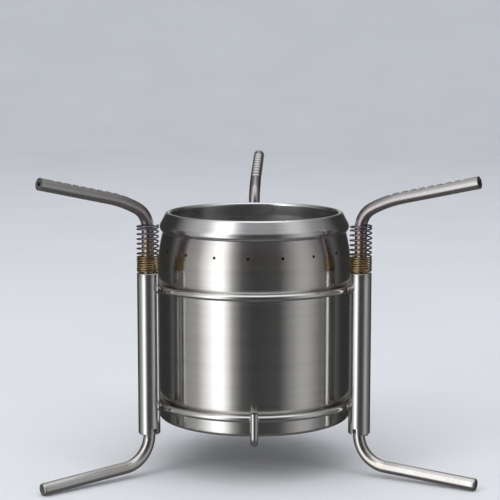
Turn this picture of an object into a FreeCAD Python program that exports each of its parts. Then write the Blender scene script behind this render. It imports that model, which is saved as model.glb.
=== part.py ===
import FreeCAD, Part
import math
import os

# Alcohol spirit stove: a double-wall burner cup that stands loose in a wire
# stand. The stand has two rings, three sleeves and three hooks. Each sleeve
# carries a bent tube leg that swivels in it: the top end of the leg is the
# toothed pot arm, the bottom end is the foot, and a coil spring on the stem
# keeps the leg drawn up against its stop pin.
# Frame: millimetres, +Z up, origin on the floor plane under the burner's axis.

doc = FreeCAD.newDocument("spirit_stove")
V = FreeCAD.Vector

# ---------------------------------------------------------------- sizes
SIZES = [
    # burner
    ("burner_base", 17.15),
    ("body_radius", 36.1),
    ("shell_wall", 0.45),
    ("base_corner", 1.5),
    ("base_dish_radius", 24.0),
    ("base_dish_rise", 0.8),
    ("shoulder_start", 73.0),
    ("shoulder_radius", 52.0),
    ("crown_start", 88.0),
    ("crown_radius", 1.2),
    ("crown_turn", 60.0),
    ("neck_fillet", 1.2),
    ("neck_top", 92.6),
    ("jet_height", 81.2),
    ("jet_count", 18),
    ("jet_dia", 1.05),
    ("jet_phase", -3.5),
    ("cup_inner_radius", 31.7),
    ("cup_wall", 0.45),
    ("port_dia", 3.0),
    ("port_height", 19.4),
    ("wick_inner_radius", 32.3),
    ("wick_outer_radius", 35.4),
    ("wick_low", 18.4),
    ("wick_high", 72.0),
    ("collar_wall", 0.45),
    ("collar_inner_radius", 31.2),
    ("collar_skirt_low", 89.7),
    ("collar_bead_radius", 1.0),
    ("collar_bead_height", 93.3),
    ("collar_slope", 28.0),
    ("collar_roll_radius", 2.3),
    ("collar_roll_height", 89.0),
    ("collar_lip_turn", 52.0),
    # stand
    ("ring_radius", 38.9),
    ("ring_wire", 2.5),
    ("ring_upper_height", 67.9),
    ("ring_lower_height", 24.6),
    ("sleeve_axis_radius", 44.15),
    ("sleeve_outer_dia", 8.0),
    ("sleeve_inner_dia", 4.5),
    ("sleeve_low", 15.2),
    ("sleeve_long", 59.4),
    ("sleeve_chamfer", 0.35),
    ("notch_wide", 2.4),
    ("notch_high", 2.4),
    ("hook_wire", 2.8),
    ("hook_axis_radius", 41.55),
    ("hook_bottom_height", 15.7),
    ("hook_bend", 3.2),
    ("hook_top", 27.3),
    ("hook_reach_radius", 29.0),
    ("bead_radial", 0.85),
    ("bead_across", 1.9),
    ("bead_tall", 1.45),
    # legs
    ("rod_dia", 4.4),
    ("rod_bore", 1.6),
    ("arm_stem_top", 90.65),
    ("arm_bend", 8.3),
    ("arm_bend_turn", 61.8),
    ("arm_ease", 48.0),
    ("arm_ease_turn", 15.2),
    ("arm_reach", 44.4),
    ("foot_bend", 11.0),
    ("foot_turn", 87.1),
    ("foot_reach", 45.35),
    ("tooth_first", 6.2),
    ("tooth_pitch", 3.35),
    ("groove_dia", 3.0),
    ("groove_depth", 0.5),
    ("plug_cap", 1.2),
    ("plug_shank", 5.0),
    ("plug_round", 0.6),
    ("pin_dia", 1.2),
    ("pin_inner", 0.95),
    ("pin_outer", 3.5),
    ("pin_gap", 0.05),
    ("pin_turn", 50.0),
    # springs
    ("spring_wire", 0.8),
    ("spring_radius", 3.7),
    ("spring_low", 74.65),
    ("spring_high", 91.9),
    ("spring_turns", 11.5),
]
sheet = doc.addObject("Spreadsheet::Sheet", "Sizes")
for row, (alias, value) in enumerate(SIZES, start=1):
    sheet.set("A%d" % row, alias)
    sheet.set("B%d" % row, repr(value))
    sheet.setAlias("B%d" % row, alias)
doc.recompute()


def S(alias):
    """A size from the sheet, as a plain number."""
    return float(sheet.get(alias))


kept = []  # the sub-parts, in the order they are written


def keep(obj, label):
    obj.Label = label
    kept.append(obj)
    return obj


def bind(obj, **expressions):
    for prop, expression in expressions.items():
        obj.setExpression(prop.replace("__", "."), expression)
    return obj


def cylinder(name, radius, height, base=None, turn=None):
    o = doc.addObject("Part::Cylinder", name)
    bind(o, Radius=radius, Height=height)
    if turn is not None:
        o.Placement = FreeCAD.Placement(V(0, 0, 0), turn)
    for axis, expression in (base or {}).items():
        o.setExpression("Placement.Base." + axis, expression)
    return o


def cut(name, base, tool):
    o = doc.addObject("Part::Cut", name)
    o.Base, o.Tool = base, tool
    return o


def fuse(name, shapes):
    o = doc.addObject("Part::MultiFuse", name)
    o.Shapes = shapes
    o.Refine = False
    return o


def at_sleeve(obj, azimuth, turn=0.0):
    """Stand a piece made about its own stem axis at its sleeve."""
    obj.Placement = FreeCAD.Placement(V(0, 0, 0), FreeCAD.Rotation(V(0, 0, 1), azimuth + turn))
    obj.setExpression("Placement.Base.x", "Sizes.sleeve_axis_radius * cos(%g deg)" % azimuth)
    obj.setExpression("Placement.Base.y", "Sizes.sleeve_axis_radius * sin(%g deg)" % azimuth)


# ---------------------------------------------------------------- burner
def arc(cx, cz, r, a0, a1):
    p = [
        V(cx + r * math.cos(math.radians(a)), 0, cz + r * math.sin(math.radians(a)))
        for a in (a0, 0.5 * (a0 + a1), a1)
    ]
    return Part.Arc(*p).toShape()


def line(a, b):
    return Part.LineSegment(V(a[0], 0, a[1]), V(b[0], 0, b[1])).toShape()


def revolve(edges):
    face = Part.Face(Part.Wire(Part.__sortEdges__(edges)))
    return face.revolve(V(0, 0, 0), V(0, 0, 1), 360)


def shell_shape():
    """Deep-drawn outer shell: dished base, straight wall, long easy shoulder that
    runs up under the collar's lip, then a small crown and the neck."""
    b, w, R = S("burner_base"), S("shell_wall"), S("body_radius")
    rc, dr, dz = S("base_corner"), S("base_dish_radius"), S("base_dish_rise")
    z0, ra, rb = S("shoulder_start"), S("shoulder_radius"), S("crown_radius")
    a1 = math.degrees(math.asin((S("crown_start") - z0) / ra))
    a2, rn = S("crown_turn"), S("neck_fillet")
    ca = (R - ra, z0)
    pa = (ca[0] + ra * math.cos(math.radians(a1)), ca[1] + ra * math.sin(math.radians(a1)))
    cb = (pa[0] - rb * math.cos(math.radians(a1)), pa[1] - rb * math.sin(math.radians(a1)))
    cc = (
        cb[0] + (rb + rn) * math.cos(math.radians(a2)),
        cb[1] + (rb + rn) * math.sin(math.radians(a2)),
    )
    top, s = S("neck_top"), 1.5
    e = [
        line((0, b + dz), (dr, b + dz)),
        line((dr, b + dz), (dr + s, b)),
        line((dr + s, b), (R - rc, b)),
        arc(R - rc, b + rc, rc, -90, 0),
        line((R, b + rc), (R, z0)),
        arc(ca[0], ca[1], ra, 0, a1),
        arc(cb[0], cb[1], rb, a1, a2),
        arc(cc[0], cc[1], rn, 180 + a2, 180),
        line((cc[0] - rn, cc[1]), (cc[0] - rn, top)),
        line((cc[0] - rn, top), (cc[0] - rn - w, top)),
        line((cc[0] - rn - w, top), (cc[0] - rn - w, cc[1])),
        arc(cc[0], cc[1], rn + w, 180, 180 + a2),
        arc(cb[0], cb[1], rb - w, a2, a1),
        arc(ca[0], ca[1], ra - w, a1, 0),
        line((R - w, z0), (R - w, b + rc)),
        arc(R - rc, b + rc, rc - w, 0, -90),
        line((R - rc, b + w), (dr + s + 0.15, b + w)),
        line((dr + s + 0.15, b + w), (dr + 0.15, b + dz + w)),
        line((dr + 0.15, b + dz + w), (0, b + dz + w)),
        line((0, b + dz + w), (0, b + dz)),
    ]
    body = revolve(e)
    n = int(S("jet_count"))
    jets = []
    for k in range(n):
        a = math.radians(270 + S("jet_phase") + 360.0 * k / n)
        d = V(math.cos(a), math.sin(a), 0)
        jets.append(Part.makeCylinder(S("jet_dia") / 2, 4.0, V(0, 0, S("jet_height")) + d * 33.4, d))
    return body.cut(Part.makeCompound(jets))


def collar_shape():
    """Rim collar folded over the cup and the shell: inner skirt, bead on top,
    straight sloping flank, and a lower edge rolled in to meet the shoulder."""
    w, ri, rb, zb = (
        S("collar_wall"),
        S("collar_inner_radius"),
        S("collar_bead_radius"),
        S("collar_bead_height"),
    )
    a1, rr, zr, a2 = (
        S("collar_slope"),
        S("collar_roll_radius"),
        S("collar_roll_height"),
        -S("collar_lip_turn"),
    )
    cb = ri + rb
    # the flank is tangent to the bead and to the roll, which places the roll
    sn, cs = math.sin(math.radians(a1)), math.cos(math.radians(a1))
    cr = cb + (rb - rr - (zr - zb) * sn) / cs

    def on(c, z, r, a):
        return (c + r * math.cos(math.radians(a)), z + r * math.sin(math.radians(a)))

    e = [
        line((ri, S("collar_skirt_low")), (ri, zb)),
        arc(cb, zb, rb, 180, a1),
        line(on(cb, zb, rb, a1), on(cr, zr, rr, a1)),
        arc(cr, zr, rr, a1, a2),
        line(on(cr, zr, rr, a2), on(cr, zr, rr - w, a2)),
        arc(cr, zr, rr - w, a2, a1),
        line(on(cr, zr, rr - w, a1), on(cb, zb, rb - w, a1)),
        arc(cb, zb, rb - w, a1, 180),
        line((ri + w, zb), (ri + w, S("collar_skirt_low"))),
        line((ri + w, S("collar_skirt_low")), (ri, S("collar_skirt_low"))),
    ]
    return revolve(e)


shell = keep(doc.addObject("Part::Feature", "outer_shell"), "outer_shell")
shell.Shape = shell_shape()
shell.Placement = FreeCAD.Placement()

collar = keep(doc.addObject("Part::Feature", "rim_collar"), "rim_collar")
collar.Shape = collar_shape()
collar.Placement = FreeCAD.Placement()

# inner wall of the well, with six fuel ports at its foot
floor_z = "Sizes.burner_base + Sizes.shell_wall"
cup_out = cylinder("cup_out", "Sizes.cup_inner_radius + Sizes.cup_wall",
                   "Sizes.neck_top - Sizes.burner_base - Sizes.shell_wall", {"z": floor_z})
cup_in = cylinder("cup_in", "Sizes.cup_inner_radius",
                  "Sizes.neck_top - Sizes.burner_base + 2", {"z": "Sizes.burner_base - 1"})
cup_tube = cut("cup_tube", cup_out, cup_in)
ports = []
for k in range(3):
    port = cylinder("port_%d" % k, "Sizes.port_dia / 2", "2 * Sizes.body_radius",
                    turn=FreeCAD.Rotation(V(0, 0, 1), 60 * k + 10) * FreeCAD.Rotation(V(0, 1, 0), 90))
    a = "(%d deg)" % (60 * k + 10)
    bind(port, Placement__Base__x="-Sizes.body_radius * cos%s" % a,
         Placement__Base__y="-Sizes.body_radius * sin%s" % a,
         Placement__Base__z="Sizes.port_height")
    ports.append(port)
keep(cut("inner_wall", cup_tube, fuse("ports", ports)), "inner_wall")

# absorbent packing in the jacket between the two walls
wick_out = cylinder("wick_out", "Sizes.wick_outer_radius", "Sizes.wick_high - Sizes.wick_low",
                    {"z": "Sizes.wick_low"})
wick_in = cylinder("wick_in", "Sizes.wick_inner_radius", "Sizes.wick_high - Sizes.wick_low + 2",
                   {"z": "Sizes.wick_low - 1"})
keep(cut("wick_packing", wick_out, wick_in), "wick_packing")

# ---------------------------------------------------------------- stand rings
for name in ("upper", "lower"):
    ring = doc.addObject("Part::Torus", name + "_ring")
    bind(ring, Radius1="Sizes.ring_radius", Radius2="Sizes.ring_wire / 2",
         Placement__Base__z="Sizes.ring_%s_height" % name)
    keep(ring, name + "_ring")

# ---------------------------------------------------------------- sleeves
LEGS = [("left", 210.0, 8.4), ("right", 330.0, 1.3), ("back", 90.0, -2.6)]
for side, az, swing in LEGS:
    tube = cylinder("sleeve_out_" + side, "Sizes.sleeve_outer_dia / 2", "Sizes.sleeve_long",
                    {"z": "Sizes.sleeve_low"})
    doc.recompute()
    ends = []
    for n, edge in enumerate(tube.Shape.Edges, start=1):
        if isinstance(edge.Curve, Part.Circle):
            ends.append((n, S("sleeve_chamfer"), S("sleeve_chamfer")))
    eased = doc.addObject("Part::Chamfer", "sleeve_eased_" + side)
    eased.Base = tube
    eased.Edges = ends
    hole = cylinder("sleeve_in_" + side, "Sizes.sleeve_inner_dia / 2", "Sizes.sleeve_long + 2",
                    {"z": "Sizes.sleeve_low - 1"})
    slot = doc.addObject("Part::Box", "sleeve_notch_" + side)
    bind(slot, Length="Sizes.notch_wide", Width="Sizes.sleeve_outer_dia + 2",
         Height="Sizes.notch_high + 1", Placement__Base__x="-Sizes.notch_wide / 2",
         Placement__Base__y="-Sizes.sleeve_outer_dia / 2 - 1", Placement__Base__z="Sizes.sleeve_low - 1")
    sleeve = cut("sleeve_" + side, cut("sleeve_bored_" + side, eased, hole), slot)
    at_sleeve(sleeve, az)
    keep(sleeve, "sleeve_" + side)

# ---------------------------------------------------------------- cup hooks
BENT_UP = FreeCAD.Rotation(V(-1, 0, 0), V(0, 0, 1), V(0, 1, 0), "XYZ")
BENT_DOWN = FreeCAD.Rotation(V(-1, 0, 0), V(0, 0, -1), V(0, -1, 0), "XYZ")
HOOKS = [("front", 270.0), ("right", 30.0), ("left", 150.0)]
for side, az in HOOKS:
    # made in its own frame: the upright wire on Z, the toe running to +X
    upright = cylinder("hook_up_" + side, "Sizes.hook_wire / 2",
                       "Sizes.hook_top - Sizes.hook_bottom_height - Sizes.hook_bend",
                       {"z": "Sizes.hook_bottom_height + Sizes.hook_bend"})
    bend = doc.addObject("Part::Torus", "hook_bend_" + side)
    bend.Placement = FreeCAD.Placement(V(0, 0, 0), BENT_DOWN)
    bind(bend, Radius1="Sizes.hook_bend", Radius2="Sizes.hook_wire / 2", Angle3="90 deg",
         Placement__Base__x="Sizes.hook_bend",
         Placement__Base__z="Sizes.hook_bottom_height + Sizes.hook_bend")
    toe = cylinder("hook_toe_" + side, "Sizes.hook_wire / 2",
                   "Sizes.hook_axis_radius - Sizes.hook_reach_radius - Sizes.hook_bend",
                   {"x": "Sizes.hook_bend", "z": "Sizes.hook_bottom_height"},
                   turn=FreeCAD.Rotation(V(0, 1, 0), 90))
    hook = fuse("cup_hook_" + side, [upright, bend, toe])
    hook.Placement = FreeCAD.Placement(V(0, 0, 0), FreeCAD.Rotation(V(0, 0, 1), az + 180))
    hook.setExpression("Placement.Base.x", "Sizes.hook_axis_radius * cos(%g deg)" % az)
    hook.setExpression("Placement.Base.y", "Sizes.hook_axis_radius * sin(%g deg)" % az)
    keep(hook, "cup_hook_" + side)


# ---------------------------------------------------------------- weld beads
def bead(name, az, height, across):
    o = doc.addObject("Part::Ellipsoid", name)
    o.Placement = FreeCAD.Placement(V(0, 0, 0), FreeCAD.Rotation(V(0, 0, 1), az))
    r = "(Sizes.ring_radius + Sizes.ring_wire / 2)"
    bind(o, Radius1="Sizes.bead_tall", Radius2="Sizes.bead_radial", Radius3=across,
         Placement__Base__x="%s * cos(%g deg)" % (r, az),
         Placement__Base__y="%s * sin(%g deg)" % (r, az), Placement__Base__z=height)
    return o


beads = [
    bead("bead_%s_%s" % (ring, side), az, "Sizes.ring_%s_height" % ring, "Sizes.bead_across")
    for side, az, swing in LEGS
    for ring in ("upper", "lower")
]
group = doc.addObject("Part::Compound", "ring_welds")
group.Links = beads
keep(group, "ring_welds")
beads = [bead("hook_bead_" + side, az, "Sizes.ring_lower_height", "Sizes.bead_across")
         for side, az in HOOKS]
group = doc.addObject("Part::Compound", "hook_welds")
group.Links = beads
keep(group, "hook_welds")


# ---------------------------------------------------------------- legs
# the leg's own frame: the stem on Z, arm and foot in the XZ plane towards +X.
# The arm leaves the stem in a short elbow and then a long easy bend.
T1 = "(Sizes.arm_bend_turn * 1 deg)"
T2 = "((Sizes.arm_bend_turn + Sizes.arm_ease_turn) * 1 deg)"
ELBOW_X = "(Sizes.arm_bend * (1 - cos%s))" % T1
ELBOW_Z = "(Sizes.arm_stem_top + Sizes.arm_bend * sin%s)" % T1
EASE_X = "(%s + Sizes.arm_ease * cos%s)" % (ELBOW_X, T1)
EASE_Z = "(%s - Sizes.arm_ease * sin%s)" % (ELBOW_Z, T1)
RUN_X = "(%s - Sizes.arm_ease * cos%s)" % (EASE_X, T2)
RUN_Z = "(%s + Sizes.arm_ease * sin%s)" % (EASE_Z, T2)
RUN_LONG = "((Sizes.arm_reach - %s) / sin%s)" % (RUN_X, T2)


def bent_rod(tag, dia, extra, foot_less):
    """One run of the leg. extra lengthens the arm past its end, foot_less stops
    the foot short of its tip (a negative value runs it past the tip)."""
    foot_axis = ("(Sizes.rod_dia / 2 * sin(Sizes.foot_turn * 1 deg)"
                 " + Sizes.foot_reach * tan((90 - Sizes.foot_turn) * 1 deg))")
    foot_start = "(%s + Sizes.foot_bend * tan(Sizes.foot_turn / 2 * 1 deg))" % foot_axis
    stem = cylinder("stem_" + tag, dia, "Sizes.arm_stem_top - %s" % foot_start, {"z": foot_start})
    up = doc.addObject("Part::Torus", "arm_bend_" + tag)
    up.Placement = FreeCAD.Placement(V(0, 0, 0), BENT_UP)
    bind(up, Radius1="Sizes.arm_bend", Radius2=dia, Angle3="Sizes.arm_bend_turn * 1 deg",
         Placement__Base__x="Sizes.arm_bend", Placement__Base__z="Sizes.arm_stem_top")
    ease = doc.addObject("Part::Torus", "arm_ease_" + tag)
    ease.Placement = FreeCAD.Placement(
        V(0, 0, 0), BENT_UP * FreeCAD.Rotation(V(0, 0, 1), S("arm_bend_turn")))
    bind(ease, Radius1="Sizes.arm_ease", Radius2=dia, Angle3="Sizes.arm_ease_turn * 1 deg",
         Placement__Base__x=EASE_X, Placement__Base__z=EASE_Z)
    arm = cylinder("arm_" + tag, dia, "%s + %g" % (RUN_LONG, extra), {"x": RUN_X, "z": RUN_Z},
                   turn=FreeCAD.Rotation(V(0, 1, 0), S("arm_bend_turn") + S("arm_ease_turn")))
    down = doc.addObject("Part::Torus", "foot_bend_" + tag)
    down.Placement = FreeCAD.Placement(V(0, 0, 0), BENT_DOWN)
    bind(down, Radius1="Sizes.foot_bend", Radius2=dia, Angle3="Sizes.foot_turn * 1 deg",
         Placement__Base__x="Sizes.foot_bend", Placement__Base__z=foot_start)
    foot = cylinder("foot_" + tag, dia,
                    "(Sizes.foot_reach - Sizes.foot_bend * (1 - cos(Sizes.foot_turn * 1 deg)))"
                    " / sin(Sizes.foot_turn * 1 deg) - %s" % foot_less,
                    {"x": "Sizes.foot_bend * (1 - cos(Sizes.foot_turn * 1 deg))",
                     "z": foot_start + " - Sizes.foot_bend * sin(Sizes.foot_turn * 1 deg)"},
                    turn=FreeCAD.Rotation(V(0, 1, 0), 180 - S("foot_turn")))
    return fuse("run_" + tag, [arm, ease, up, stem, down, foot])


for side, az, swing in LEGS:
    outer = bent_rod("skin_" + side, "Sizes.rod_dia / 2", 0, "Sizes.plug_cap")
    bore = bent_rod("bore_" + side, "Sizes.rod_bore / 2", 2, "Sizes.plug_cap + 0")
    tube = cut("leg_tube_" + side, outer, bore)
    # transverse grooves across the top of the arm, which leave eight teeth
    grooves = []
    turn_all = S("arm_bend_turn") + S("arm_ease_turn")
    run_x = (S("arm_bend") * (1 - math.cos(math.radians(S("arm_bend_turn"))))
             + S("arm_ease") * (math.cos(math.radians(S("arm_bend_turn")))
                                - math.cos(math.radians(turn_all))))
    run_long = (S("arm_reach") - run_x) / math.sin(math.radians(turn_all))
    lift = "(Sizes.rod_dia / 2 + Sizes.groove_dia / 2 - Sizes.groove_depth)"
    for k in range(9):
        back = "(Sizes.tooth_first + %d * Sizes.tooth_pitch)" % k
        if S("tooth_first") + k * S("tooth_pitch") <= run_long:
            # on the straight part, counted back from the arm's end
            where = {"x": "%s + (%s - %s) * sin%s - %s * cos%s" % (RUN_X, RUN_LONG, back, T2, lift, T2),
                     "z": "%s + (%s - %s) * cos%s + %s * sin%s" % (RUN_Z, RUN_LONG, back, T2, lift, T2)}
        else:
            # on the easy bend
            at = ("((Sizes.arm_bend_turn + Sizes.arm_ease_turn"
                  " - (%s - %s) / Sizes.arm_ease * 180 / pi) * 1 deg)" % (back, RUN_LONG))
            where = {"x": "%s - (Sizes.arm_ease + %s) * cos%s" % (EASE_X, lift, at),
                     "z": "%s + (Sizes.arm_ease + %s) * sin%s" % (EASE_Z, lift, at)}
        g = cylinder("groove_%s_%d" % (side, k), "Sizes.groove_dia / 2", "12", where,
                     turn=FreeCAD.Rotation(V(1, 0, 0), 90))
        g.setExpression("Placement.Base.y", "6")
        grooves.append(g)
    pin_z = "(Sizes.sleeve_low - Sizes.pin_gap - Sizes.pin_dia / 2)"
    turn = FreeCAD.Rotation(V(0, 0, 1), S("pin_turn")) * FreeCAD.Rotation(V(0, 1, 0), 90)
    where = {"x": "Sizes.pin_inner * cos(Sizes.pin_turn * 1 deg)",
             "y": "Sizes.pin_inner * sin(Sizes.pin_turn * 1 deg)", "z": pin_z}
    seat = cylinder("pin_seat_" + side, "Sizes.pin_dia / 2", "4", where, turn=turn)
    leg = cut("leg_" + side, tube, fuse("leg_cuts_" + side, grooves + [seat]))
    at_sleeve(leg, az, swing)
    keep(leg, "leg_" + side)

    # closed end of the foot: a rounded plug whose shank sits in the tube
    cap = cylinder("plug_cap_" + side, "Sizes.rod_dia / 2", "Sizes.plug_cap")
    doc.recompute()
    rims = [(n, S("plug_round"), S("plug_round")) for n, edge in enumerate(cap.Shape.Edges, start=1)
            if isinstance(edge.Curve, Part.Circle) and edge.CenterOfMass.z > 0.5 * S("plug_cap")]
    head = doc.addObject("Part::Fillet", "plug_head_" + side)
    head.Base = cap
    head.Edges = rims
    shank = cylinder("plug_shank_" + side, "Sizes.rod_bore / 2", "Sizes.plug_shank",
                     {"z": "-Sizes.plug_shank"})
    plug = fuse("foot_plug_" + side, [head, shank])
    tilt = 180 - S("foot_turn")
    plug.Placement = FreeCAD.Placement(
        V(0, 0, 0), FreeCAD.Rotation(V(0, 0, 1), az + swing) * FreeCAD.Rotation(V(0, 1, 0), tilt))
    out = ("(Sizes.foot_reach - Sizes.plug_cap * sin(Sizes.foot_turn * 1 deg))")
    plug.setExpression("Placement.Base.x", "Sizes.sleeve_axis_radius * cos(%g deg) + %s * cos(%g deg)"
                       % (az, out, az + swing))
    plug.setExpression("Placement.Base.y", "Sizes.sleeve_axis_radius * sin(%g deg) + %s * sin(%g deg)"
                       % (az, out, az + swing))
    plug.setExpression("Placement.Base.z", "Sizes.rod_dia / 2 * sin(Sizes.foot_turn * 1 deg)"
                       " + Sizes.plug_cap * cos(Sizes.foot_turn * 1 deg)")
    keep(plug, "foot_plug_" + side)

    # stub pin through the tube's wall, just under the sleeve's lower edge
    pin = cylinder("stop_pin_" + side, "Sizes.pin_dia / 2", "Sizes.pin_outer - Sizes.pin_inner",
                   turn=FreeCAD.Rotation(V(0, 0, 1), az + swing + S("pin_turn"))
                   * FreeCAD.Rotation(V(0, 1, 0), 90))
    for axis, f in (("x", "cos"), ("y", "sin")):
        pin.setExpression("Placement.Base." + axis,
                          "Sizes.sleeve_axis_radius * %s(%g deg)"
                          " + Sizes.pin_inner * %s((%g + Sizes.pin_turn) * 1 deg)"
                          % (f, az, f, az + swing))
    pin.setExpression("Placement.Base.z", pin_z)
    keep(pin, "stop_pin_" + side)

    # coil spring between the sleeve's top and the arm's bend
    coil = doc.addObject("Part::Helix", "spring_line_" + side)
    bind(coil, Radius="Sizes.spring_radius",
         Height="Sizes.spring_high - Sizes.spring_low - Sizes.spring_wire",
         Pitch="(Sizes.spring_high - Sizes.spring_low - Sizes.spring_wire) / Sizes.spring_turns")
    coil.LocalCoord = 0
    ring = doc.addObject("Part::Circle", "spring_section_" + side)
    ring.Placement = FreeCAD.Placement(V(0, 0, 0), FreeCAD.Rotation(V(1, 0, 0), 90))
    bind(ring, Radius="Sizes.spring_wire / 2", Placement__Base__x="Sizes.spring_radius")
    wound = doc.addObject("Part::Sweep", "spring_" + side)
    wound.Sections = [ring]
    doc.recompute()
    wound.Spine = (coil, ["Edge%d" % (n + 1) for n in range(len(coil.Shape.Edges))])
    wound.Solid = True
    wound.Frenet = True
    at_sleeve(wound, az, swing + 180)
    wound.setExpression("Placement.Base.z", "Sizes.spring_low + Sizes.spring_wire / 2")
    keep(wound, "spring_" + side)

doc.recompute()

# ---------------------------------------------------------------- checks
for obj in doc.Objects:
    if "Invalid" in obj.State or "Error" in obj.State:
        raise SystemExit("%s failed: %s" % (obj.Name, obj.State))
for obj in kept:
    if obj.Shape.isNull() or not obj.Shape.isValid() or not obj.Shape.Solids:
        raise SystemExit("%s has no valid solid" % obj.Label)

os.makedirs("parts", exist_ok=True)
for obj in kept:
    obj.Shape.exportStep("parts/" + obj.Label + ".step")
    box = obj.Shape.BoundBox
    print("%-18s %7.1f mm3  x %.2f..%.2f  y %.2f..%.2f  z %.2f..%.2f" % (
        obj.Label, obj.Shape.Volume, box.XMin, box.XMax, box.YMin, box.YMax, box.ZMin, box.ZMax))
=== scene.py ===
import math

import bpy
import bmesh
from mathutils import Matrix, Vector, noise


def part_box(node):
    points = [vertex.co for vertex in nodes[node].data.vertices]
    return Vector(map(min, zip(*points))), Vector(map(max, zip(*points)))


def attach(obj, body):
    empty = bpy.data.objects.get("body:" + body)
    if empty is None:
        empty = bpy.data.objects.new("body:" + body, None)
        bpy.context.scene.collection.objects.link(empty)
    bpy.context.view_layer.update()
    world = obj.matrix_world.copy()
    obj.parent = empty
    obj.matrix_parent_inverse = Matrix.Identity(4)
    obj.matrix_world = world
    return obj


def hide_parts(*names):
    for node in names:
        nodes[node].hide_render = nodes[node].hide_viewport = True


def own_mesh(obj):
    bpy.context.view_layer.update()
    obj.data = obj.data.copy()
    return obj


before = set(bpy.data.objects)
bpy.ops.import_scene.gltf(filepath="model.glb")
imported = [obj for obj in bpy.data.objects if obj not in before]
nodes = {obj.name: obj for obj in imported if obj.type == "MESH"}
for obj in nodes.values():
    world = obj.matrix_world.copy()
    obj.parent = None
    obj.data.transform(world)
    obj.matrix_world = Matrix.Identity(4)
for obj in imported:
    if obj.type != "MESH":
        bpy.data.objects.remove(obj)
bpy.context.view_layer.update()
scene = bpy.context.scene
MM = 0.001


# ------------------------------------------------------------------ camera
CAM_BACK, CAM_UP, CAM_PITCH, CAM_YAW = 0.5561, 0.1548, 7.69, 0.165
cam_data = bpy.data.cameras.new("camera")
cam_data.sensor_width = 36.0
cam_data.lens = 108.0
cam_data.clip_start = 0.01
cam_data.clip_end = 50.0
camera = bpy.data.objects.new("camera", cam_data)
camera.location = (0.0, -CAM_BACK, CAM_UP)
camera.rotation_euler = (math.radians(90 - CAM_PITCH), 0.0, math.radians(CAM_YAW))
scene.collection.objects.link(camera)
scene.camera = camera


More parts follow.
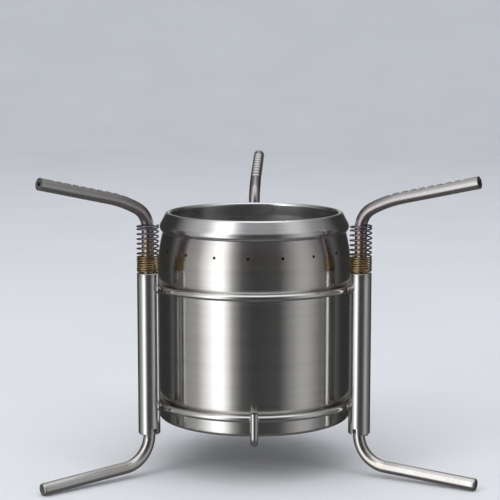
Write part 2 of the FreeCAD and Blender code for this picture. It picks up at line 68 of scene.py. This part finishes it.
# ------------------------------------------------------------------ node helpers
class Mat:
    """A small builder for procedural materials."""

    def __init__(self, name):
        self.m = bpy.data.materials.new(name)
        self.m.use_nodes = True
        self.t = self.m.node_tree
        self.t.nodes.clear()
        self.out = self.t.nodes.new("ShaderNodeOutputMaterial")
        self.bsdf = self.t.nodes.new("ShaderNodeBsdfPrincipled")
        self.t.links.new(self.bsdf.outputs[0], self.out.inputs[0])
        self.coord = self.t.nodes.new("ShaderNodeTexCoord")

    def set(self, **kw):
        for k, v in kw.items():
            self.bsdf.inputs[k.replace("_", " ")].default_value = v
        return self

    def node(self, kind, **props):
        n = self.t.nodes.new(kind)
        for k, v in props.items():
            setattr(n, k, v)
        return n

    def link(self, a, b):
        self.t.links.new(a, b)

    def vec(self, scale=(1, 1, 1), loc=(0, 0, 0), rot=(0, 0, 0)):
        m = self.node("ShaderNodeMapping")
        m.inputs["Scale"].default_value = scale
        m.inputs["Location"].default_value = loc
        m.inputs["Rotation"].default_value = rot
        self.link(self.coord.outputs["Object"], m.inputs["Vector"])
        return m.outputs["Vector"]

    def noise(self, vector, scale, detail=3.0, rough=0.55):
        n = self.node("ShaderNodeTexNoise")
        self.link(vector, n.inputs["Vector"])
        n.inputs["Scale"].default_value = scale
        n.inputs["Detail"].default_value = detail
        n.inputs["Roughness"].default_value = rough
        return n.outputs["Fac"]

    def remap(self, value, a, b, c, d, smooth=False):
        n = self.node("ShaderNodeMapRange")
        n.interpolation_type = "SMOOTHSTEP" if smooth else "LINEAR"
        self.link(value, n.inputs["Value"])
        n.inputs["From Min"].default_value = a
        n.inputs["From Max"].default_value = b
        n.inputs["To Min"].default_value = c
        n.inputs["To Max"].default_value = d
        return n.outputs["Result"]

    def math(self, op, a, b=None):
        n = self.node("ShaderNodeMath", operation=op)
        for i, v in enumerate((a, b)):
            if v is None:
                continue
            if isinstance(v, (int, float)):
                n.inputs[i].default_value = v
            else:
                self.link(v, n.inputs[i])
        return n.outputs[0]

    def axis(self, which):
        s = self.node("ShaderNodeSeparateXYZ")
        self.link(self.coord.outputs["Object"], s.inputs[0])
        return s.outputs[which]

    def radius(self):
        """Distance from the burner's axis."""
        x, y = self.axis("X"), self.axis("Y")
        return self.math("SQRT", self.math("ADD", self.math("MULTIPLY", x, x), self.math("MULTIPLY", y, y)))

    def near(self, value, centre, width):
        """1 where value is at centre, falling smoothly to 0 at width from it."""
        off = self.math("ABSOLUTE", self.math("SUBTRACT", value, centre))
        return self.remap(off, 0.0, width, 1.0, 0.0, smooth=True)

    def ramp(self, value, stops):
        n = self.node("ShaderNodeValToRGB")
        el = n.color_ramp.elements
        el[0].position, el[0].color = stops[0][0], (*stops[0][1], 1)
        el[1].position, el[1].color = stops[-1][0], (*stops[-1][1], 1)
        for p, c in stops[1:-1]:
            e = el.new(p)
            e.color = (*c, 1)
        self.link(value, n.inputs[0])
        return n.outputs["Color"]

    def mix(self, fac, a, b, mode="MIX"):
        n = self.node("ShaderNodeMix", data_type="RGBA", blend_type=mode)
        n.clamp_result = False
        ins = [s for s in n.inputs if s.enabled]
        for sock, v in zip(ins, (fac, a, b)):
            if isinstance(v, tuple):
                sock.default_value = (*v, 1)
            elif isinstance(v, (int, float)):
                sock.default_value = v
            else:
                self.link(v, sock)
        return [s for s in n.outputs if s.enabled][0]

    def bump(self, height, strength, distance, normal=None):
        n = self.node("ShaderNodeBump")
        n.inputs["Strength"].default_value = strength
        n.inputs["Distance"].default_value = distance
        self.link(height, n.inputs["Height"])
        if normal is not None:
            self.link(normal, n.inputs["Normal"])
        return n.outputs["Normal"]

    def radial_tangent(self):
        n = self.node("ShaderNodeTangent", direction_type="RADIAL", axis="Z")
        self.link(n.outputs[0], self.bsdf.inputs["Tangent"])

    def to(self, socket, value):
        self.link(value, self.bsdf.inputs[socket])


def brushed(name, tone, rough, lines=900.0, aniso=0.7, tint=0.0, seed=0.0):
    """Steel brushed round the vertical axis: fine rings in z that wander a little."""
    m = Mat(name).set(Metallic=1.0, Anisotropic=aniso, Anisotropic_Rotation=0.25)
    fine = m.noise(m.vec((3, 3, lines * 4), (seed, 0, 0)), 1.0, 4.0, 0.6)
    broad = m.noise(m.vec((6, 6, lines * 0.5), (0, seed, 0)), 1.0, 3.0, 0.5)
    smudge = m.noise(m.vec((1, 1, 1), (0, 0, seed)), 38.0, 4.0, 0.6)
    v = m.math("ADD", m.math("MULTIPLY", fine, 0.6), m.math("MULTIPLY", broad, 0.4))
    m.to("Roughness", m.math("ADD", m.remap(v, 0.3, 0.7, rough - 0.05, rough + 0.07),
                             m.remap(smudge, 0.35, 0.75, -0.015, 0.05)))
    colour = m.mix(m.remap(v, 0.3, 0.7, 0.0, 1.0), tuple(c * 0.9 for c in tone), tuple(min(1, c * 1.07) for c in tone))
    m.to("Base Color", m.mix(m.remap(smudge, 0.4, 0.8, 0.0, 0.14), colour, tuple(c * 0.72 for c in tone)))
    m.link(m.bump(v, 0.12, 0.00005), m.bsdf.inputs["Normal"])
    m.radial_tangent()
    return m


# ------------------------------------------------------------------ materials
def brushed(name, tone, rough, lines=900.0, aniso=0.7, seed=0.0, tint=None):
    """Steel brushed round the vertical axis: fine rings in z that wander a little,
    with faint handling smudges."""
    m = Mat(name).set(Metallic=1.0, Anisotropic=aniso, Anisotropic_Rotation=0.25)
    fine = m.noise(m.vec((3, 3, lines * 4), (seed, 0, 0)), 1.0, 4.0, 0.6)
    broad = m.noise(m.vec((5, 5, lines * 0.45), (0, seed, 0)), 1.0, 3.0, 0.5)
    smudge = m.noise(m.vec((1, 1, 1), (0, 0, seed)), 42.0, 4.0, 0.6)
    v = m.math("ADD", m.math("MULTIPLY", fine, 0.6), m.math("MULTIPLY", broad, 0.4))
    m.to("Roughness", m.math("ADD", m.remap(v, 0.3, 0.7, rough - 0.04, rough + 0.06),
                             m.remap(smudge, 0.35, 0.75, -0.01, 0.045)))
    colour = m.mix(m.remap(v, 0.3, 0.7, 0.0, 1.0), tuple(c * 0.9 for c in tone),
                   tuple(min(1, c * 1.08) for c in tone))
    colour = m.mix(m.remap(smudge, 0.4, 0.8, 0.0, 0.16), colour, tuple(c * 0.7 for c in tone))
    if tint:
        colour = tint(m, colour)
    m.to("Base Color", colour)
    m.link(m.bump(v, 0.12, 0.00005), m.bsdf.inputs["Normal"])
    m.radial_tangent()
    return m


def crown_tint(m, colour):
    """A little straw and blue where the jets' heat has reached the shoulder."""
    z = m.axis("Z")
    patch = m.noise(m.vec((1, 1, 1), (7, 3, 0)), 55.0, 3.0, 0.5)
    band = m.math("MULTIPLY", m.remap(z, 0.070, 0.088, 0.0, 0.34, smooth=True),
                  m.remap(patch, 0.3, 0.65, 0.35, 1.0))
    tone = m.ramp(m.remap(z, 0.070, 0.0885, 0.0, 1.0), [
        (0.0, (0.62, 0.58, 0.50)), (0.55, (0.58, 0.49, 0.38)), (0.85, (0.46, 0.40, 0.44)),
        (1.0, (0.40, 0.42, 0.52))])
    return m.mix(band, colour, tone)


burner_steel = brushed("burner_brushed_steel", (0.66, 0.65, 0.635), 0.17, tint=crown_tint)
cup_steel = brushed("cup_satin_steel", (0.66, 0.655, 0.65), 0.26, lines=600, aniso=0.5, seed=3.1)
collar_steel = brushed("collar_spun_steel", (0.72, 0.72, 0.73), 0.17, lines=1400, aniso=0.45, seed=7.7)


def polished(name, tone, rough, wear=0.05, seed=0.0, tint=None):
    """Drawn and polished wire or tube, with faint draw lines and handling marks."""
    m = Mat(name).set(Metallic=1.0)
    marks = m.noise(m.vec((1, 1, 0.12), (seed, seed, 0)), 600.0, 5.0, 0.6)
    patch = m.noise(m.vec((1, 1, 1), (0, seed, seed)), 70.0, 3.0, 0.5)
    m.to("Roughness", m.math("ADD", m.remap(marks, 0.35, 0.7, rough - 0.02, rough + wear),
                             m.remap(patch, 0.4, 0.75, 0.0, 0.05)))
    colour = m.mix(m.remap(patch, 0.35, 0.8, 0.0, 0.25), tone, tuple(c * 0.8 for c in tone))
    colour = m.mix(m.remap(marks, 0.45, 0.75, 0.0, 0.2), colour, tuple(c * 0.85 for c in tone))
    if tint:
        colour = tint(m, colour)
    m.to("Base Color", colour)
    m.link(m.bump(marks, 0.04, 0.00003), m.bsdf.inputs["Normal"])
    return m


def weld_halo(m, z):
    """1 close to a weld line's height, on the side that faces the burner."""
    at = m.math("MAXIMUM", m.near(z, 0.0679, 0.0048), m.near(z, 0.0246, 0.0048))
    return m.math("MULTIPLY", at, m.remap(m.radius(), 0.0402, 0.0425, 1.0, 0.0, smooth=True))


def sleeve_tint(m, colour):
    z = m.axis("Z")
    colour = m.mix(m.math("MULTIPLY", weld_halo(m, z), 0.7), colour, (0.36, 0.24, 0.17))
    top = m.remap(z, 0.0715, 0.0746, 0.0, 0.5, smooth=True)
    return m.mix(top, colour, (0.50, 0.42, 0.33))


def ring_tint(m, colour):
    """Brown heat halo within a few degrees of each sleeve."""
    az = m.math("ARCTAN2", m.axis("Y"), m.axis("X"))
    halo = None
    for deg in (-150.0, -30.0, 90.0):
        h = m.near(az, math.radians(deg), math.radians(9.0))
        halo = h if halo is None else m.math("MAXIMUM", halo, h)
    return m.mix(m.math("MULTIPLY", halo, 0.75), colour, (0.34, 0.25, 0.2))


ring_steel = polished("ring_polished_wire", (0.68, 0.67, 0.655), 0.13, seed=1.3, tint=ring_tint)
hook_steel = polished("hook_polished_wire", (0.66, 0.65, 0.635), 0.17, seed=2.2)
sleeve_steel = polished("sleeve_polished_tube", (0.70, 0.70, 0.695), 0.19, seed=4.2, tint=sleeve_tint)
pin_steel = polished("pin_turned_steel", (0.55, 0.55, 0.55), 0.25, seed=5.5)

leg = Mat("leg_satin_steel").set(Metallic=1.0)
z = leg.axis("Z")
grain = leg.noise(leg.vec((1, 1, 1)), 900.0, 4.0, 0.6)
patch = leg.noise(leg.vec((1, 1, 1), (2, 0, 0)), 85.0, 3.0, 0.5)
warm = leg.ramp(leg.math("ADD", leg.remap(z, 0.070, 0.112, 0.0, 1.0), leg.remap(patch, 0.3, 0.7, -0.05, 0.05)), [
    (0.0, (0.60, 0.59, 0.575)), (0.2, (0.54, 0.48, 0.38)), (0.38, (0.44, 0.34, 0.28)),
    (0.52, (0.38, 0.31, 0.33)), (0.66, (0.44, 0.40, 0.42)), (0.82, (0.50, 0.48, 0.48)),
    (1.0, (0.54, 0.53, 0.53))])
leg.to("Base Color", leg.mix(leg.remap(grain, 0.35, 0.75, 0.0, 0.14), warm, (0.38, 0.37, 0.36)))
leg.to("Roughness", leg.math("ADD", leg.math("ADD", leg.remap(grain, 0.35, 0.7, -0.02, 0.03),
                                             leg.remap(patch, 0.4, 0.7, 0.0, 0.05)),
                             leg.remap(z, 0.02, 0.09, 0.17, 0.27, smooth=True)))
leg.link(leg.bump(grain, 0.03, 0.00002), leg.bsdf.inputs["Normal"])

plug = polished("foot_plug_steel", (0.55, 0.545, 0.54), 0.24, seed=8.8)

spring = Mat("spring_heat_tint_and_painted_shade").set(Metallic=1.0)
z = spring.axis("Z")
patch = spring.noise(spring.vec((1, 1, 1), (1, 4, 0)), 260.0, 3.0, 0.5)
fine = spring.noise(spring.vec((1, 1, 1), (0, 9, 0)), 1500.0, 3.0, 0.5)
# Colour up the coil: heat-tint hues (dark brown, bronze, purple, blue), painted dark overall as painted shade standing
# in for dark reflections. The bright bronze band on the lowest coils is partly a painted highlight, and the bluish top
# half is partly painted blue flame light.
tone = spring.ramp(spring.math("ADD", spring.remap(z, 0.0745, 0.092, 0.0, 1.0),
                               spring.remap(patch, 0.3, 0.7, -0.07, 0.07)), [
    (0.0, (0.20, 0.14, 0.08)), (0.12, (0.50, 0.38, 0.19)), (0.26, (0.44, 0.30, 0.14)),
    (0.38, (0.22, 0.15, 0.11)), (0.55, (0.26, 0.21, 0.22)), (0.8, (0.28, 0.26, 0.33)),
    (1.0, (0.24, 0.24, 0.30))])
spring.to("Base Color", spring.mix(spring.remap(fine, 0.4, 0.7, 0.0, 0.4), tone, (0.12, 0.10, 0.09)))
spring.to("Roughness", spring.remap(patch, 0.3, 0.7, 0.2, 0.36))
spring.link(spring.bump(fine, 0.1, 0.00003), spring.bsdf.inputs["Normal"])

weld = Mat("weld_bead").set(Metallic=1.0)
r = weld.noise(weld.vec((1, 1, 1)), 1400.0, 4.0, 0.6)
weld.to("Base Color", weld.mix(weld.remap(r, 0.3, 0.7, 0.0, 1.0), (0.66, 0.6, 0.52), (0.36, 0.31, 0.3)))
weld.to("Roughness", weld.remap(r, 0.3, 0.7, 0.14, 0.34))
weld.link(weld.bump(r, 0.35, 0.00008), weld.bsdf.inputs["Normal"])

felt = Mat("wick_felt").set(Metallic=0.0)
f = felt.noise(felt.vec((1, 1, 1)), 900.0, 6.0, 0.7)
g = felt.noise(felt.vec((1, 1, 3)), 160.0, 4.0, 0.6)
felt.to("Base Color", felt.mix(felt.remap(f, 0.3, 0.7, 0.0, 1.0), (0.62, 0.58, 0.5), (0.82, 0.8, 0.74)))
felt.to("Roughness", felt.remap(g, 0.3, 0.7, 0.86, 0.98))
felt.link(felt.bump(f, 0.6, 0.0004), felt.bsdf.inputs["Normal"])


def dress(node, mat):
    o = nodes[node]
    o.data.materials.clear()
    o.data.materials.append(mat.m)
    return o


dress("outer_shell", burner_steel)
dress("inner_wall", cup_steel)
dress("rim_collar", collar_steel)
for n in ("upper_ring", "lower_ring"):
    dress(n, ring_steel)
for n in ("cup_hook_front", "cup_hook_right", "cup_hook_left"):
    dress(n, hook_steel)
for side in ("left", "right", "back"):
    dress("sleeve_" + side, sleeve_steel)
    dress("leg_" + side, leg)
    dress("foot_plug_" + side, plug)
    dress("stop_pin_" + side, pin_steel)
dress("ring_welds", weld)
dress("hook_welds", weld)


# ------------------------------------------------------------------ new pieces
def mesh_piece(name, verts, faces, mat, smooth=True):
    me = bpy.data.meshes.new(name)
    me.from_pydata(verts, [], faces)
    me.validate()
    me.update()
    if smooth:
        for p in me.polygons:
            p.use_smooth = True
    o = bpy.data.objects.new(name, me)
    scene.collection.objects.link(o)
    me.materials.append(mat.m)
    return o


SPRING_R, WIRE = 3.77 * MM, 0.62 * MM


def coil(name, side, seed):
    """Coil spring: a closed seat turn, five close turns, then open turns and a
    closed end, wound a little unevenly, with ground-off wire ends."""
    cx, cy = SLEEVES[side]
    z0, z1 = Z_SEAT + WIRE * 0.5, Z_TOP - WIRE * 0.5
    pitch = [(0.0, 0.66), (1.0, 0.70), (1.4, 0.84), (6.2, 0.86), (7.2, 1.55), (8.2, 1.8), (12.2, 1.78),
             (12.8, 1.2), (13.3, 0.66), (14.0, 0.66)]
    per = 44
    n = int(pitch[-1][0] * per)
    rise = [0.0]
    for i in range(n):
        t = i / per
        for (a, pa), (b, pb) in zip(pitch, pitch[1:]):
            if a <= t <= b:
                p = pa + (pb - pa) * (t - a) / (b - a)
                break
        rise.append(rise[-1] + p * (1 + 0.05 * math.sin(1.7 * t + seed)) / per)
    scale = (z1 - z0) / rise[-1]
    line = []
    for i, h in enumerate(rise):
        t = i / per
        a = 2 * math.pi * t + seed
        r = SPRING_R * (1 + 0.006 * math.sin(0.9 * t + 2 * seed))
        line.append(Vector((cx + r * math.cos(a), cy + r * math.sin(a), z0 + h * scale)))
    verts, faces, k = [], [], 12
    axis = Vector((cx, cy, 0))
    for i, p in enumerate(line):
        t = (line[min(i + 1, n)] - line[max(i - 1, 0)]).normalized()
        out = Vector((p.x - axis.x, p.y - axis.y, 0)).normalized()
        up = t.cross(out).normalized()
        for j in range(k):
            b = 2 * math.pi * j / k
            verts.append(tuple(p + (out * math.cos(b) + up * math.sin(b)) * WIRE * 0.5))
    for i in range(n):
        for j in range(k):
            a, b = i * k + j, i * k + (j + 1) % k
            faces.append((a, b, b + k, a + k))
    faces.append(tuple(range(k)))
    faces.append(tuple(reversed(range(n * k, n * k + k))))
    o = mesh_piece(name, verts, faces, spring)
    bm = bmesh.new()
    bm.from_mesh(o.data)
    bmesh.ops.recalc_face_normals(bm, faces=bm.faces)
    bm.to_mesh(o.data)
    bm.free()
    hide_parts("spring_" + side)
    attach(o, side + "_coil")
    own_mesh(o)
    return o


SLEEVES = {}
for side in ("left", "right", "back"):
    low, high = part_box("sleeve_" + side)
    SLEEVES[side] = (0.5 * (low[0] + high[0]), 0.5 * (low[1] + high[1]))
Z_SEAT, Z_TOP = 74.65 * MM, 91.9 * MM
for side, seed in (("left", 0.4), ("right", 2.1), ("back", 4.0)):
    coil("coil_spring_" + side, side, seed)

# the packing: a thick ring of loose fibre, lumpy all over, in the jacket
low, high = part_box("wick_packing")
R1, R0 = high[0] - 0.12 * MM, 32.42 * MM
ZL, ZH = low[2] + 0.1 * MM, high[2] - 0.1 * MM
ring, rows = 300, []
for q in range(14):
    rows.append((R0, ZL + (ZH - ZL) * q / 14))
for q in range(4):
    rows.append((R0 + (R1 - R0) * q / 4, ZH))
for q in range(14):
    rows.append((R1, ZH - (ZH - ZL) * q / 14))
for q in range(4):
    rows.append((R1 - (R1 - R0) * q / 4, ZL))
verts, faces = [], []
for i in range(ring):
    a = 2 * math.pi * i / ring
    for r, zz in rows:
        p = Vector((r * math.cos(a), r * math.sin(a), zz))
        lump = noise.noise(p * 420.0) * 0.5 + noise.noise(p * 1100.0) * 0.35
        d = (0.5 + 0.5 * max(-1.0, min(1.0, lump * 1.6))) * 0.55 * MM
        mid = Vector((0.5 * (R0 + R1) * math.cos(a), 0.5 * (R0 + R1) * math.sin(a),
                      min(max(zz, ZL + 1.4 * MM), ZH - 1.4 * MM)))
        verts.append(tuple(p + (mid - p).normalized() * d))
m_ = len(rows)
for i in range(ring):
    for j in range(m_):
        a, b = i * m_ + j, i * m_ + (j + 1) % m_
        c, d = ((i + 1) % ring) * m_ + (j + 1) % m_, ((i + 1) % ring) * m_ + j
        faces.append((a, b, c, d))
wick = mesh_piece("wick_felt_ring", verts, faces, felt)
bm = bmesh.new()
bm.from_mesh(wick.data)
bmesh.ops.recalc_face_normals(bm, faces=bm.faces)
bm.to_mesh(wick.data)
bm.free()
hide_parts("wick_packing")
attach(wick, "burner")


# ------------------------------------------------------------------ stage and light
def sweep(name, profile, n=96):
    verts, faces = [(0.0, 0.0, 0.0)], []
    for i in range(n):
        a = 2 * math.pi * i / n
        verts += [(r * math.cos(a), r * math.sin(a), h) for r, h in profile]
    k = len(profile)
    for i in range(n):
        j = (i + 1) % n
        faces.append((0, 1 + i * k, 1 + j * k))
        for q in range(k - 1):
            faces.append((1 + i * k + q, 1 + i * k + q + 1, 1 + j * k + q + 1, 1 + j * k + q))
    me = bpy.data.meshes.new(name)
    me.from_pydata(verts, [], faces)
    for p in me.polygons:
        p.use_smooth = True
    o = bpy.data.objects.new(name, me)
    scene.collection.objects.link(o)
    return o


# a pale floor that curves up into a pale wall all round
prof = [(0.3, 0.0), (0.8, 0.0), (1.6, 0.0)]
prof += [(1.6 + 1.1 * math.sin(math.radians(a)), 1.1 - 1.1 * math.cos(math.radians(a))) for a in range(6, 91, 6)]
prof += [(2.7, 1.6), (2.7, 2.4)]
floor = sweep("studio_floor", prof)
fm = Mat("floor_matt").set(Metallic=0.0, Roughness=0.8, Specular_IOR_Level=0.2)
fn = fm.noise(fm.vec((1, 1, 1)), 9.0, 2.0, 0.5)
fm.to("Base Color", fm.mix(fm.remap(fn, 0.3, 0.7, 0.0, 1.0), (0.72, 0.725, 0.74), (0.745, 0.75, 0.765)))
floor.data.materials.append(fm.m)
floor.visible_glossy = False

# a light tent that only the metal sees: its brightness runs round the set as soft
# boxes would, a broad key on the left, a weaker strip on the right, dark between
bm = bmesh.new()
bmesh.ops.create_uvsphere(bm, u_segments=64, v_segments=32, radius=3.2)
me = bpy.data.meshes.new("light_tent")
bm.to_mesh(me)
bm.free()
tent = bpy.data.objects.new("light_tent", me)
scene.collection.objects.link(tent)
tm = Mat("tent_cloth")
az = tm.math("MULTIPLY", tm.math("ARCTAN2", tm.axis("X"), tm.math("MULTIPLY", tm.axis("Y"), -1.0)), 180 / math.pi)
LEVELS = [(-180, 0.5), (-160, 0.04), (-120, 0.04), (-100, 0.25), (-70, 0.45), (-50, 1.6), (-45, 1.9),
          (-38, 1.8), (-25, 0.4), (-15, 0.1), (0, 0.055), (30, 0.08), (55, 0.5), (65, 0.5), (85, 0.18),
          (105, 0.15), (125, 0.04), (160, 0.04), (180, 0.5)]
TOP = 2.2
stops = [((a + 180) / 360.0, (v / TOP,) * 3) for a, v in LEVELS]
around = tm.ramp(tm.remap(az, -180.0, 180.0, 0.0, 1.0), stops)
elev = tm.math("MULTIPLY", tm.math("ARCSINE", tm.math("DIVIDE", tm.axis("Z"), 3.2)), 180 / math.pi)
high = tm.remap(elev, 48.0, 70.0, 0.0, 1.0, smooth=True)
table = tm.remap(elev, -24.0, -44.0, 0.0, 1.0, smooth=True)
colour = tm.mix(high, around, (0.48, 0.49, 0.51))
lift = tm.math("MULTIPLY", tm.remap(elev, 22.0, 44.0, 0.0, 0.10, smooth=True), 1.0)
colour = tm.mix(1.0, colour, lift, mode="ADD")
colour = tm.mix(table, colour, (0.055, 0.054, 0.056))
em = tm.node("ShaderNodeEmission")
em.inputs["Strength"].default_value = TOP
tm.link(colour, em.inputs["Color"])
tm.link(em.outputs[0], tm.out.inputs[0])
tm.t.nodes.remove(tm.bsdf)
me.materials.append(tm.m)
for flag in ("visible_camera", "visible_diffuse", "visible_transmission", "visible_volume_scatter", "visible_shadow"):
    setattr(tent, flag, False)
tm.m.cycles.emission_sampling = "NONE"


def light(name, az, dist, height, sx, sy, power, aim=(0, 0, 0.03), colour=(1, 1, 1)):
    d = bpy.data.lights.new(name, "AREA")
    d.shape = "RECTANGLE"
    d.size, d.size_y = sx, sy
    d.energy = power
    d.color = colour
    o = bpy.data.objects.new(name, d)
    a = math.radians(az)
    o.location = (math.cos(a) * dist, math.sin(a) * dist, height)
    o.rotation_euler = (Vector(aim) - o.location).to_track_quat("-Z", "Y").to_euler()
    o.visible_camera = False
    o.visible_glossy = False
    scene.collection.objects.link(o)
    return o


light("soft_top", 270, 0.1, 1.5, 1.6, 1.6, 7.5)
light("soft_left", 225, 0.9, 0.7, 0.5, 0.6, 2.6)
light("soft_right", 320, 0.9, 0.7, 0.4, 0.6, 1.2)

world = bpy.data.worlds.new("studio_world")
scene.world = world
world.use_nodes = True
bg = world.node_tree.nodes["Background"]
bg.inputs[0].default_value = (0.80, 0.83, 0.88, 1)
bg.inputs[1].default_value = 1.0
scene.view_settings.view_transform = "Standard"
scene.view_settings.look = "None"
